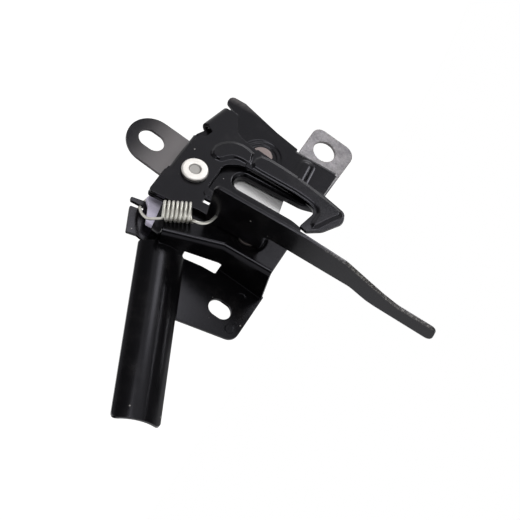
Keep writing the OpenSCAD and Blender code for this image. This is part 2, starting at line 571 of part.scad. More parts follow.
module pawl_spring() color([0.75, 0.75, 0.72]) {
    y0 = lever_y + pawl_t + torsion_wire / 2 + 0.1;
    y1 = pawl_rear - torsion_wire / 2 - 0.1;
    p = torsion(pawl_pin, y0, y1, 5.9, 2, 0);
    h = pawl_eye;
    wire(concat([[h[0], lever_y + 0.8, h[1]], [h[0], lever_y + pawl_t - 0.6, h[1]], [h[0] - 0.1, y0 - 0.3, h[1] + 0.3], [h[0] - 0.2, y0, h[1] + 1.2],
                 [h[0] - 0.4, y0, h[1] + 4]], [for (q = p) [q[0], q[1], 2 * pawl_pin[1] - q[2]]],
                [[pawl_pin[0] + 6.2, y1, pawl_pin[1] + 5], [pawl_pin[0] + 7.6, y1, pawl_pin[1] + 9],
                 [right_x - base_t - torsion_wire / 2 - 0.1, y1, pawl_pin[1] + 13]]), torsion_wire, [1, 0, 0]);
}

base_plate();
safety_hook();
hook_rivet();
hook_washer();
claw();
claw_rivet();
claw_spacer();
claw_spring();
pawl();
pawl_rivet();
pawl_spacer();
pawl_spring();
hook_spring();
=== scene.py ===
"""Dresses the bonnet latch: pressed sheets, levers, rivets and springs, and the studio they are shown in."""

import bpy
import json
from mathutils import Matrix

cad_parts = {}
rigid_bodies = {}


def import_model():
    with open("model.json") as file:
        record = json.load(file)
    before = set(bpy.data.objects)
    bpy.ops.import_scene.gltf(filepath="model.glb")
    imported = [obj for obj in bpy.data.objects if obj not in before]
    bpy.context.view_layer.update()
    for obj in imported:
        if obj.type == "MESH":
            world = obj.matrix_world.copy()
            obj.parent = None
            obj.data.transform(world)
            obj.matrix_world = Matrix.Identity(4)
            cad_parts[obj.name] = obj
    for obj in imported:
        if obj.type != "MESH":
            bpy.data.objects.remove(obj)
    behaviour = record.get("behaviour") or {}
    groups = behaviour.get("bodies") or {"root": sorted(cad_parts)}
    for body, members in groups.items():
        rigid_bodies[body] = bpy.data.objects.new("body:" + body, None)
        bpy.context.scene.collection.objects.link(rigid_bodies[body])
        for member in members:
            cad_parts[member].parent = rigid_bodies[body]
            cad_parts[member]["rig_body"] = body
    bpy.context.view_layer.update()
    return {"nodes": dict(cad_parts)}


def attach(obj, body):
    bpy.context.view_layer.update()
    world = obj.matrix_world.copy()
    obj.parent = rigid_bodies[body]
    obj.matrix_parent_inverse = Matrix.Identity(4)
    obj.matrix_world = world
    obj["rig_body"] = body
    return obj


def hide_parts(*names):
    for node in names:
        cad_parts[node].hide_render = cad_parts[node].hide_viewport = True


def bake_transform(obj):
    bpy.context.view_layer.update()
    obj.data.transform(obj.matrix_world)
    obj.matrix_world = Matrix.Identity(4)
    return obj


bl_info = {
    "name": "Bonnet Latch",
    "version": (1, 0, 0),
    "blender": (4, 5, 0),
    "location": "View3D > Sidebar > Latch",
    "description": "Models the pieces of a bonnet latch with its safety catch, and their studio",
    "category": "Object",
}

import json
import math

import bmesh
import bpy
from bpy.props import FloatProperty, FloatVectorProperty, PointerProperty
from mathutils import Euler, Quaternion, Vector
from mathutils.bvhtree import BVHTree

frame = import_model()
MM = 0.001

# points of a CAD copy that are this close become one, and so do faces that are this flat to each other
MERGE_REACH = 0.03 * MM
FLAT_TURN = math.radians(0.4)
# edges that turn by more than this are rounded, and those that still do are shaded sharp
EDGE_TURN = math.radians(32)
# a rivet is rounded only at edges that turn by more than this
RIVET_EDGE_TURN = math.radians(40)
# a wire is shaded sharp only where it turns by more than this
WIRE_TURN = math.radians(50)
# how far a rounded edge may lie from the sharp one before the point counts as stray
STRAY_REACH = 0.33 * MM

# how far the edges of a pressed form turn, in degrees, where a sheared edge turns by 90,
# and the facets of their rounding
PRESSED_TURN = (14, 60)
PRESSED_FACETS = 4
# middles of the pivots in x and z, in millimetres
HOOK_PIN = (11, -16.6)
CLAW_PIN = (-18.5, 4)
PAWL_PIN = (25, 21)
# the pressed dishes round two of them: their y, and their inner and outer radius, in millimetres
DISH_Y = (-0.1, 1.6)
CLAW_DISH = (6.4, 10.3)
PAWL_DISH = (5.8, 9.5)
# boxes round the base's bead and the hook's raised fields, lowest and highest corner in millimetres
BEAD = ((-31, -1, 19.5), (-9, 0.05, 30))
HOOK_FIELDS = ((-18, -5.1, -17.5), (8, -3.1, 53))

# where the paler tone begins and where it is full, in millimetres: out along the upper ear, and up the lower
# ear, where it is painted sheen
UPPER_EAR_X = (-38, -46)
LOWER_EAR_Z = (-56, -33)
# the painted sheen stays under the lower wall, and left of the cable guard
LOWER_WALL_Z = (-29, -31)
GUARD_X = (28, 25)
# rim of the dimple in the hook rivet's head, as radii, and where its grey, partly painted shade, fades behind
# the head, in mm
DIMPLE_RIM = (2.75, 3.1)
DIMPLE_FADE_Y = (-2, 0)
# the lever's near edge from its flange to its end, y and z in millimetres
LEVER_EDGE = ((-26.6, 45), (-24.5, 67), (-17.2, 87), (-15.0, 95), (-13.9, 115.3))
# how deep the edge is rubbed and lightened as a painted highlight, and the height over which that sets in, in
# millimetres
RUBBED_SHEEN_DEPTH = (0.1, 0.5)
RUBBED_SHEEN_Z = (50, 72)

# middle of the studio, and how far its lamps stand from it
STUDIO_MIDDLE = Vector((0.01, 0, 0.01))
STUDIO_REACH = 0.62
FLOOR_SIZE = 6
SENSOR_WIDTH = 36
# what the floor's own light adds for the camera: with the room's light on its paint it comes to white
FLOOR_LIFT = 0.62
# how far the card that lies on the floor is lifted off it
CARD_LIFT = 0.012
WHITE = (1, 1, 1, 1)


def linear(code):
    """Linear RGB of an sRGB hex colour."""
    parts = [int(code[i:i + 2], 16) / 255 for i in (1, 3, 5)]
    return tuple(c / 12.92 if c <= 0.04045 else ((c + 0.055) / 1.055) ** 2.4 for c in parts)


def opaque(colour):
    """A colour with its alpha, as a shader's socket takes it."""
    return (*colour, 1.0)


def per(size_mm):
    """Texture scale for a pattern whose features are this many millimetres across."""
    return 1 / (size_mm * MM)


def length(name, description, default):
    """A length that a user can change."""
    return FloatProperty(name=name, description=description, default=default, min=0, unit="LENGTH")


def colour(name, description, code):
    """A colour that a user can change."""
    return FloatVectorProperty(
        name=name, description=description, default=linear(code), min=0, max=1, size=3, subtype="COLOR")


class LatchSizes(bpy.types.PropertyGroup):
    """Small sizes that finish the pieces."""

    sheet_edge: length("Sheet edge", "Rounding of the base's sheared edges", 0.28 * MM)
    hook_edge: length("Hook edge", "Rounding of the safety hook's sheared edges", 0.3 * MM)
    dish_edge: length("Dish edge", "Width of the rounding along a pressed dish", 0.42 * MM)
    bead_edge: length("Bead edge", "Width of the rounding along the pressed bead", 0.8 * MM)
    field_edge: length("Field edge", "Width of the rounding along the hook's pressed fields", 0.55 * MM)
    lever_edge: length("Lever edge", "Rounding of the claw's and pawl's edges", 0.25 * MM)
    rivet_edge: length("Rivet edge", "Rounding of the rivets' and washers' edges", 0.3 * MM)
    wire_swell: length(
        "Wire swell", "Swelling of a spring's wire before it is smoothed to its real thickness", 0.075 * MM)


class LatchColours(bpy.types.PropertyGroup):
    """Colours of the finishes."""

    coat_dark: colour("Coat, dark", "Black electro-dip coat where it is thick", "#040405")
    coat_pale: colour("Coat, pale", "Black electro-dip coat where it is thin or handled", "#0c0b0d")
    coat_dust: colour("Coat dust", "Dry grey film left on the coat", "#4a4644")
    # partly painted sheen: on the lower ear this pale tone stands for the light that its bend mirrors; on the
    # upper ear it is a paler mottled tone
    coat_tone_and_sheen: colour("Coat haze", "Pale haze on the ears", "#a7a2a2")
    # besides the real chips, this also lightens the lever's near edge as a painted highlight
    bare_steel_and_sheen: colour("Bare steel", "Steel where the coat is rubbed through or chipped", "#b9b6b2")
    claw_zinc: colour("Claw zinc", "Pale zinc of the claw", "#f0eff0")
    pawl_zinc: colour("Pawl zinc", "Zinc with the lilac cast of its passivation", "#f4f0ff")
    rivet_zinc: colour("Hook rivet zinc", "Bright zinc of the hook rivet", "#e6e3df")
    rivet_steel: colour("Rivet steel", "Grey steel of the claw rivet and the spacers", "#7e7472")
    # painted shade: the pawl rivet is made dark to stand for the shade beside the hook's flange
    rivet_painted_shade: colour("Phosphated rivet", "Dark steel of the pawl rivet", "#5a5553")
    wire_zinc: colour("Spring zinc", "Zinc of the spring wire", "#d6d4cd")


class LatchStage(bpy.types.PropertyGroup):
    """Camera and light of the studio."""

    camera_place: FloatVectorProperty(
        name="Camera place", description="Where the camera stands",
        default=(0.3803, -0.5085, 0.1052), subtype="TRANSLATION", unit="LENGTH")
    camera_turn: FloatVectorProperty(
        name="Camera turn", description="How the camera is turned",
        default=tuple(math.radians(a) for a in (-76.4815, -59.4107, -157.3848)), subtype="EULER")
    lens: FloatProperty(
        name="Lens", description="Focal length on a 36 mm sensor, in millimetres", default=95.4, min=1)
    floor_drop: length("Floor drop", "How far the floor lies under the closed end of the slot", 0.26)
    fill: FloatProperty(
        name="Fill", description="Strength of the room's light on matt surfaces", default=0.45, min=0)


def alone(obj):
    """Selects one object and makes it active."""
    bpy.ops.object.select_all(action="DESELECT")
    obj.select_set(True)
    bpy.context.view_layer.objects.active = obj


def copy_of(cad_node, name):
    """A copy of a CAD node whose loose triangles are merged into one clean mesh."""
    piece = bpy.data.objects.new(name, frame["nodes"][cad_node].data.copy())
    bpy.context.scene.collection.objects.link(piece)
    piece.data.materials.clear()
    alone(piece)
    if piece.data.has_custom_normals:
        bpy.ops.mesh.customdata_custom_splitnormals_clear()
    bpy.ops.object.mode_set(mode="EDIT")
    bpy.ops.mesh.select_all(action="SELECT")
    bpy.ops.mesh.remove_doubles(threshold=MERGE_REACH)
    bpy.ops.mesh.dissolve_limited(angle_limit=FLAT_TURN)
    bpy.ops.object.mode_set(mode="OBJECT")
    return piece


def finish_modifier(piece, kind, **settings):
    """Adds a modifier and applies it."""
    modifier = piece.modifiers.new(kind.title(), kind)
    for key, value in settings.items():
        setattr(modifier, key, value)
    alone(piece)
    bpy.ops.object.modifier_apply(modifier=modifier.name)


def soften(piece, width, pressed):
    """Rounds the edges of pressed forms as a die does, wider than a sheared edge.

    pressed is given the middle of an edge, in millimetres, and says whether it belongs to such a form.
    """
    alone(piece)
    bpy.ops.object.mode_set(mode="EDIT")
    bpy.ops.mesh.select_mode(type="EDGE")
    bpy.ops.mesh.select_all(action="DESELECT")
    mesh = bmesh.from_edit_mesh(piece.data)
    for edge in mesh.edges:
        turn = math.degrees(edge.calc_face_angle(0))
        middle = (edge.verts[0].co + edge.verts[1].co) / (2 * MM)
        edge.select_set(PRESSED_TURN[0] < turn < PRESSED_TURN[1] and pressed(middle))
    bmesh.update_edit_mesh(piece.data)
    bpy.ops.mesh.bevel(offset=width, segments=PRESSED_FACETS, affect="EDGES", clamp_overlap=False)
    bpy.ops.object.mode_set(mode="OBJECT")


def pull_back(piece, cad_node):
    """Puts the points that a rounding threw off the metal back on the node's surface."""
    source = frame["nodes"][cad_node].data
    surface = BVHTree.FromPolygons([v.co for v in source.vertices], [p.vertices for p in source.polygons])
    for vertex in piece.data.vertices:
        spot, _, _, gap = surface.find_nearest(vertex.co)
        if gap > STRAY_REACH:
            vertex.co = spot


def round_edges(piece, cad_node, width, segments=2, turn=EDGE_TURN):
    """Rounds the edges that turn by more than an angle, and shades the piece."""
    finish_modifier(piece, "BEVEL", width=width, segments=segments, limit_method="ANGLE", angle_limit=turn,
                    use_clamp_overlap=False, harden_normals=False)
    pull_back(piece, cad_node)
    alone(piece)
    bpy.ops.object.shade_smooth_by_angle(angle=EDGE_TURN)
    # large flat faces stay flat, and only the rounded edges turn the light
    finish_modifier(piece, "WEIGHTED_NORMAL", mode="FACE_AREA", weight=80, keep_sharp=True)


def round_wire(piece, swell):
    """Makes a spring's faceted wire round; smoothing thins it, so it is swollen first."""
    alone(piece)
    bpy.ops.object.mode_set(mode="EDIT")
    bpy.ops.mesh.select_all(action="SELECT")
    bpy.ops.mesh.tris_convert_to_quads(face_threshold=math.radians(40), shape_threshold=math.radians(60))
    bpy.ops.transform.shrink_fatten(value=swell)
    bpy.ops.object.mode_set(mode="OBJECT")
    finish_modifier(piece, "SUBSURF", levels=1, render_levels=1)
    alone(piece)
    bpy.ops.object.shade_smooth_by_angle(angle=WIRE_TURN)


def settle(piece, material, cad_node):
    """Gives a finished piece its material, and hides the node it stands for."""
    piece.data.materials.append(material)
    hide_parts(cad_node)


def round_pin(middle, pin, radii):
    """Whether a point lies between two radii round a pivot."""
    return radii[0] < math.hypot(middle.x - pin[0], middle.z - pin[1]) < radii[1]


def within(middle, box):
    """Whether a point lies inside a box."""
    return all(low < at < high for low, at, high in zip(box[0], middle, box[1]))


def in_dish(middle):
    """The stepped dishes round the claw's and the pawl's rivets."""
    front = DISH_Y[0] < middle.y < DISH_Y[1]
    return front and (round_pin(middle, CLAW_PIN, CLAW_DISH) or round_pin(middle, PAWL_PIN, PAWL_DISH))


def in_bead(middle):
    """The stiffening bead by the upper ear."""
    return within(middle, BEAD)


def in_hook_field(middle):
    """The raised fields of the hook's pivot plate, arm and nose."""
    return within(middle, HOOK_FIELDS)


def add(tree, kind, inputs=None, **settings):
    """Adds a shader node with its settings, and sets or links its inputs."""
    made = tree.nodes.new(kind)
    for key, value in settings.items():
        setattr(made, key, value)
    for socket, value in (inputs or {}).items():
        if isinstance(value, bpy.types.NodeSocket):
            tree.links.new(value, made.inputs[socket])
        else:
            made.inputs[socket].default_value = value
    return made


def new_material(name):
    """An empty node material with its output and shader, and the object's coordinates."""
    material = bpy.data.materials.new(name)
    material.use_nodes = True
    tree = material.node_tree
    tree.nodes.clear()
    shader = add(tree, "ShaderNodeBsdfPrincipled")
    add(tree, "ShaderNodeOutputMaterial", {"Surface": shader.outputs["BSDF"]})
    place = add(tree, "ShaderNodeTexCoord").outputs["Object"]
    return material, tree, shader, place


def give_surface(tree, shader, tint, gloss, bump):
    """Links a finish's colour, roughness and relief to its shader."""
    tree.links.new(tint.outputs["Result"], shader.inputs["Base Color"])
    tree.links.new(gloss.outputs["Result"], shader.inputs["Roughness"])
    tree.links.new(bump.outputs["Normal"], shader.inputs["Normal"])


def electro_dip_coat(name, sheen, rubbed_and_sheened=None, toned_and_sheened=None):
    """Black electro-dip paint over pressed steel: near black, a soft sheen with a fine ripple, some dry film.

    sheen is the specular level: a thin baked film mirrors less than a thick lacquer.
    The last two arguments are given the tree and the place. They return how far the coat is rubbed through
    and lightened as a painted highlight, and where it takes a paler tone: mottled on the upper ear, and an
    even painted sheen on the lower ear towards its bend.
    """
    tones = bpy.context.scene.latch_colours
    material, tree, shader, place = new_material(name)
    drift = add(tree, "ShaderNodeTexNoise", {
        "Vector": place, "Scale": per(26), "Detail": 3.0, "Roughness": 0.55})
    tint = add(tree, "ShaderNodeMix", {
        "Factor": drift.outputs["Fac"], "A": opaque(tones.coat_dark), "B": opaque(tones.coat_pale)},
        data_type="RGBA")
    # a dry film, in cloudy patches with fine grain
    cloud = add(tree, "ShaderNodeTexNoise", {
        "Vector": place, "Scale": per(9), "Detail": 6.0, "Roughness": 0.68})
    film = add(tree, "ShaderNodeMapRange", {
        "Value": cloud.outputs["Fac"], "From Min": 0.52, "From Max": 0.82, "To Min": 0.0, "To Max": 0.12})
    # specks where the paint is chipped, about 8 mm apart and half a millimetre across
    cells = add(tree, "ShaderNodeTexVoronoi", {"Vector": place, "Scale": per(8)})
    specks = add(tree, "ShaderNodeMapRange", {
        "Value": cells.outputs["Distance"], "From Min": 0.035, "From Max": 0.055,
        "To Min": 0.5, "To Max": 0.0})
    marks = [(film.outputs["Result"], tones.coat_dust), (specks.outputs["Result"], tones.bare_steel_and_sheen)]
    # a paler tone on the ears, which is painted sheen on the lower ear
    if toned_and_sheened:
        marks.append((toned_and_sheened(tree, place), tones.coat_tone_and_sheen))
    # the lever's rubbed edge, lightened as a painted highlight
    if rubbed_and_sheened:
        marks.append((rubbed_and_sheened(tree, place), tones.bare_steel_and_sheen))
    for share, tone in marks:
        tint = add(tree, "ShaderNodeMix", {
            "Factor": share, "A": tint.outputs["Result"], "B": opaque(tone)}, data_type="RGBA")
    gloss = add(tree, "ShaderNodeMapRange", {
        "Value": cloud.outputs["Fac"], "From Min": 0.3, "From Max": 0.8, "To Min": 0.16, "To Max": 0.25})
    # ripple of the baked film, about 1 mm from crest to crest
    ripple = add(tree, "ShaderNodeTexNoise", {"Vector": place, "Scale": per(1.1), "Detail": 2.0})
    bump = add(tree, "ShaderNodeBump", {
        "Height": ripple.outputs["Fac"], "Strength": 0.05, "Distance": 0.1 * MM})
    give_surface(tree, shader, tint, gloss, bump)
    shader.inputs["IOR"].default_value = 1.5
    shader.inputs["Specular IOR Level"].default_value = sheen
    # what it mirrors looks a little cool
    shader.inputs["Specular Tint"].default_value = opaque(linear("#f3f2ff"))
    return material


def ear_tone_and_sheen(tree, place):
    """Paler mottled tone on the upper ear, and on the lower ear towards its bend an even painted sheen,
    standing for the light that the bend mirrors.
    """
    axes = add(tree, "ShaderNodeSeparateXYZ", {"Vector": place})
    upper = add(tree, "ShaderNodeMapRange", {
        "Value": axes.outputs["X"], "From Min": UPPER_EAR_X[0] * MM, "From Max": UPPER_EAR_X[1] * MM,
        "To Max": 0.6})
    mottle = add(tree, "ShaderNodeTexNoise", {
        "Vector": place, "Scale": per(3.2), "Detail": 7.0, "Roughness": 0.72})
    patch = add(tree, "ShaderNodeMapRange", {
        "Value": mottle.outputs["Fac"], "From Min": 0.3, "From Max": 0.68, "To Min": 0.35, "To Max": 1.25})
    upper = add(tree, "ShaderNodeMath", {
        0: upper.outputs["Result"], 1: patch.outputs["Result"]}, operation="MULTIPLY")
    # painted sheen: the lower ear grows lighter up towards its bend
    lower = add(tree, "ShaderNodeMapRange", {
        "Value": axes.outputs["Z"], "From Min": LOWER_EAR_Z[0] * MM, "From Max": LOWER_EAR_Z[1] * MM,
        "To Max": 0.46}, interpolation_type="SMOOTHSTEP")
    below = add(tree, "ShaderNodeMapRange", {
        "Value": axes.outputs["Z"], "From Min": LOWER_WALL_Z[0] * MM, "From Max": LOWER_WALL_Z[1] * MM})
    beside = add(tree, "ShaderNodeMapRange", {
        "Value": axes.outputs["X"], "From Min": GUARD_X[0] * MM, "From Max": GUARD_X[1] * MM})
    neck = add(tree, "ShaderNodeMath", {
        0: lower.outputs["Result"], 1: below.outputs["Result"]}, operation="MULTIPLY")
    neck = add(tree, "ShaderNodeMath", {
        0: neck.outputs["Value"], 1: beside.outputs["Result"]}, operation="MULTIPLY")
    tone_and_sheen = add(tree, "ShaderNodeMath", {
        0: upper.outputs["Value"], 1: neck.outputs["Value"]}, operation="MAXIMUM")
    return tone_and_sheen.outputs["Value"]


def lever_wear_and_sheen(tree, place):
    """The lever's near edge, rubbed by hands, with bright speckles where steel shows, and lightened along its
    length as a painted highlight for the light its narrow face mirrors.
    """
    axes = add(tree, "ShaderNodeSeparateXYZ", {"Vector": place})
    (low_y, low_z), (high_y, high_z) = LEVER_EDGE[0], LEVER_EDGE[-1]
    along = add(tree, "ShaderNodeMapRange", {
        "Value": axes.outputs["Z"], "From Min": low_z * MM, "From Max": high_z * MM})
    # a ramp gives the edge's y at each height
    edge = add(tree, "ShaderNodeValToRGB", {"Fac": along.outputs["Result"]})
    stops = edge.color_ramp.elements
    for _, z in LEVER_EDGE[1:-1]:
        stops.new((z - low_z) / (high_z - low_z))
    for stop, (y, _) in zip(stops, LEVER_EDGE):
        share = (y - low_y) / (high_y - low_y)
        stop.color = (share, share, share, 1.0)
    edge_y = add(tree, "ShaderNodeMapRange", {
        "Value": edge.outputs["Color"], "To Min": low_y * MM, "To Max": high_y * MM})
    inside = add(tree, "ShaderNodeMath", {
        0: axes.outputs["Y"], 1: edge_y.outputs["Result"]}, operation="SUBTRACT")
    strip = add(tree, "ShaderNodeMapRange", {
        "Value": inside.outputs["Value"], "From Min": RUBBED_SHEEN_DEPTH[0] * MM, "From Max": RUBBED_SHEEN_DEPTH[1] * MM,
        "To Min": 1.0, "To Max": 0.0})
    reached = add(tree, "ShaderNodeMapRange", {
        "Value": axes.outputs["Z"], "From Min": RUBBED_SHEEN_Z[0] * MM, "From Max": RUBBED_SHEEN_Z[1] * MM})
    grit = add(tree, "ShaderNodeTexNoise", {
        "Vector": place, "Scale": per(0.8), "Detail": 2.0, "Roughness": 0.7})
    spots = add(tree, "ShaderNodeMapRange", {
        "Value": grit.outputs["Fac"], "From Min": 0.46, "From Max": 0.66, "To Min": 0.09, "To Max": 0.48})
    # painted highlight: the whole strip is lightened, more where the grit is high
    rubbed_and_sheened = add(tree, "ShaderNodeMath", {
        0: strip.outputs["Result"], 1: reached.outputs["Result"]}, operation="MULTIPLY")
    wear_and_sheen = add(tree, "ShaderNodeMath", {
        0: rubbed_and_sheened.outputs["Value"], 1: spots.outputs["Result"]}, operation="MULTIPLY")
    return wear_and_sheen.outputs["Value"]


def finished_steel(name, tint, grain_mm, roughness, dulled_and_shaded=None):
    """Steel as the plating barrel or the heading die left it, or given a dark tone as painted shade.

    It gives the eye soft reflections, cloudy tones and a fine drawn or rolled grain.
    The last argument is given the tree and the place, and returns where the metal is greyed: the tone of the
    tool that formed it, deepened as painted shade in the hook rivet's dimple.
    """
    material, tree, shader, place = new_material(name)
    cloud = add(tree, "ShaderNodeTexNoise", {
        "Vector": place, "Scale": per(4.5), "Detail": 5.0, "Roughness": 0.6})
    shade = tuple(c * 0.78 for c in tint)
    body = add(tree, "ShaderNodeMix", {
        "Factor": cloud.outputs["Fac"], "A": opaque(shade), "B": opaque(tint)}, data_type="RGBA")
    # where the mask says, the metal is greyed: partly the tool's tone, partly painted shade
    if dulled_and_shaded:
        grey = tuple(c * 0.4 for c in tint)
        body = add(tree, "ShaderNodeMix", {
            "Factor": dulled_and_shaded(tree, place), "A": body.outputs["Result"], "B": opaque(grey)}, data_type="RGBA")
    grain = add(tree, "ShaderNodeTexNoise", {"Vector": place, "Scale": per(grain_mm), "Detail": 3.0})
    gloss = add(tree, "ShaderNodeMapRange", {
        "Value": grain.outputs["Fac"], "From Min": 0.3, "From Max": 0.7,
        "To Min": roughness - 0.06, "To Max": roughness + 0.08})
    bump = add(tree, "ShaderNodeBump", {
        "Height": grain.outputs["Fac"], "Strength": 0.08, "Distance": 0.05 * MM})
    give_surface(tree, shader, body, gloss, bump)
    shader.inputs["Metallic"].default_value = 1.0
    return material


def rivet_dimple_shade(tree, place):
    """The dimple that the riveting tool left in the middle of the hook rivet's head, greyed as painted shade
    in its recess.
    """
    axes = add(tree, "ShaderNodeSeparateXYZ", {"Vector": place})
    across = add(tree, "ShaderNodeMath", {0: axes.outputs["X"], 1: HOOK_PIN[0] * MM}, operation="SUBTRACT")
    up = add(tree, "ShaderNodeMath", {0: axes.outputs["Z"], 1: HOOK_PIN[1] * MM}, operation="SUBTRACT")
    flat = add(tree, "ShaderNodeCombineXYZ", {"X": across.outputs["Value"], "Y": up.outputs["Value"]})
    radius = add(tree, "ShaderNodeVectorMath", {0: flat.outputs["Vector"]}, operation="LENGTH")
    middle = add(tree, "ShaderNodeMapRange", {
        "Value": radius.outputs["Value"], "From Min": DIMPLE_RIM[0] * MM, "From Max": DIMPLE_RIM[1] * MM,
        "To Min": 1.0, "To Max": 0.0})
    front = add(tree, "ShaderNodeMapRange", {
        "Value": axes.outputs["Y"], "From Min": DIMPLE_FADE_Y[0] * MM, "From Max": DIMPLE_FADE_Y[1] * MM,
        "To Min": 1.0, "To Max": 0.0})
    dimple = add(tree, "ShaderNodeMath", {
        0: middle.outputs["Result"], 1: front.outputs["Result"]}, operation="MULTIPLY")
    return dimple.outputs["Value"]


class LATCH_OT_base_plate(bpy.types.Operator):
    """Base: one black stamping with its walls, ears, slot rim and cable guard"""

    bl_idname = "latch.base_plate"
    bl_label = "Base Plate"

    def execute(self, context):
        piece = copy_of("base_plate", "base_plate_sheet")
        sizes = context.scene.latch_sizes
        soften(piece, sizes.dish_edge, in_dish)
        soften(piece, sizes.bead_edge, in_bead)
        round_edges(piece, "base_plate", sizes.sheet_edge)
        coat = electro_dip_coat("electro_dipped_steel_base", sheen=0.21, toned_and_sheened=ear_tone_and_sheen)
        settle(piece, coat, "base_plate")
        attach(piece, "base")
        return {"FINISHED"}


class LATCH_OT_safety_hook(bpy.types.Operator):
    """Safety hook: one black stamping with its hook, flange and release lever"""

    bl_idname = "latch.safety_hook"
    bl_label = "Safety Hook"

    def execute(self, context):
        piece = copy_of("safety_hook", "safety_hook_sheet")
        sizes = context.scene.latch_sizes
        soften(piece, sizes.field_edge, in_hook_field)
        round_edges(piece, "safety_hook", sizes.hook_edge)
        coat = electro_dip_coat("electro_dipped_steel_hook", sheen=0.26, rubbed_and_sheened=lever_wear_and_sheen)
        settle(piece, coat, "safety_hook")
        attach(piece, "hook")
        return {"FINISHED"}


class LATCH_OT_levers(bpy.types.Operator):
    """Claw and pawl: thick blanked levers, zinc plated"""

    bl_idname = "latch.levers"
    bl_label = "Claw and Pawl"

    def execute(self, context):
        tones = context.scene.latch_colours
        pale = finished_steel("zinc_plated_blanked_claw", tones.claw_zinc, grain_mm=0.8, roughness=0.5)
        lilac = finished_steel("zinc_plated_blanked_pawl", tones.pawl_zinc, grain_mm=0.8, roughness=0.74)
        for lever, material, slot in (("claw", pale, "zinc_bright"), ("pawl", lilac, "zinc_lilac")):
            piece = copy_of(lever, lever + "_blank")
            round_edges(piece, lever, context.scene.latch_sizes.lever_edge)
            settle(piece, material, lever)
            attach(piece, lever)
        return {"FINISHED"}


class LATCH_OT_rivets(bpy.types.Operator):
    """Rivets that carry the hook, the claw and the pawl, with their washer and spacers"""

    bl_idname = "latch.rivets"
    bl_label = "Rivets and Spacers"

    def execute(self, context):
        tones = context.scene.latch_colours
        bright = finished_steel(
            "zinc_plated_headed_rivet", tones.rivet_zinc, grain_mm=0.7, roughness=0.46, dulled_and_shaded=rivet_dimple_shade)
        steel = finished_steel("plain_headed_rivet_steel", tones.rivet_steel, grain_mm=0.6, roughness=0.45)
        # the pawl rivet's dark steel is painted shade
        dark = finished_steel(
            "shade_darkened_headed_rivet_steel", tones.rivet_painted_shade, grain_mm=0.6, roughness=0.5)
        rows = (
            ("hook_rivet", bright, "zinc_pale"), ("hook_washer", bright, "zinc_pale"),
            ("claw_rivet", steel, "rivet_grey"), ("pawl_rivet", dark, "rivet_grey"),
            ("claw_spacer", steel, "rivet_grey"), ("pawl_spacer", steel, "rivet_grey"),
        )
        for cad_node, material, slot in rows:
            piece = copy_of(cad_node, cad_node + "_turned")
            width = context.scene.latch_sizes.rivet_edge
            round_edges(piece, cad_node, width, segments=3, turn=RIVET_EDGE_TURN)
            settle(piece, material, cad_node)
            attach(piece, frame["nodes"][cad_node]["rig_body"])
        return {"FINISHED"}


class LATCH_OT_springs(bpy.types.Operator):
    """Springs of round zinc-plated wire"""

    bl_idname = "latch.springs"
    bl_label = "Springs"

    def execute(self, context):
        material = finished_steel(
            "zinc_plated_drawn_wire", context.scene.latch_colours.wire_zinc, grain_mm=0.5, roughness=0.42)
        for cad_node in ("hook_spring", "claw_spring", "pawl_spring"):
            piece = copy_of(cad_node, cad_node + "_wire")
            round_wire(piece, context.scene.latch_sizes.wire_swell)
            settle(piece, material, cad_node)
            if cad_node == "hook_spring":
                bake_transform(piece)
            else:
                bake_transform(piece)
        return {"FINISHED"}


def around(azimuth, elevation, reach=STUDIO_REACH):
    """A place in the studio: degrees from the latch's front to its right, degrees up, and metres away."""
    turn, lift = math.radians(azimuth), math.radians(elevation)
    way = Vector((math.sin(turn) * math.cos(lift), -math.cos(turn) * math.cos(lift), math.sin(lift)))
    return STUDIO_MIDDLE + reach * way


def panel_lamp(name, place, size, brightness, roll=0):
    """A rectangular lamp that faces the latch, whose face is this many times as bright as the white room."""
    data = bpy.data.lights.new(name, "AREA")
    data.shape = "RECTANGLE"
    data.size, data.size_y = size
    data.energy = brightness * math.pi * size[0] * size[1]
    lamp = bpy.data.objects.new(name, data)
    lamp.location = place
    facing = (STUDIO_MIDDLE - place).to_track_quat("-Z", "Y")
    lamp.rotation_euler = (facing @ Quaternion((0, 0, 1), math.radians(roll))).to_euler()
    lamp.visible_camera = False
    bpy.context.scene.collection.objects.link(lamp)


def flag(name, place, size, cloth, flat=False):
    """A card that the latch mirrors, which the camera doesn't see; a flat one lies on the floor."""
    bpy.ops.object.select_all(action="DESELECT")
    turn = Euler() if flat else (STUDIO_MIDDLE - place).to_track_quat("Z", "Y").to_euler()
    bpy.ops.mesh.primitive_plane_add(size=1, location=place, rotation=turn)
    card = bpy.context.object
    card.name = name
    card.scale = (*size, 1)
    card.data.materials.append(cloth)
    card.visible_camera = False
    card.visible_shadow = False
    card.visible_diffuse = False


def flag_cloth(name, code):
    """Matt studio cloth: it gives no gloss, only its own plain tone."""
    material, _, shader, _ = new_material(name)
    shader.inputs["Base Color"].default_value = opaque(linear(code))
    shader.inputs["Roughness"].default_value = 1.0
    shader.inputs["Specular IOR Level"].default_value = 0.0
    return material


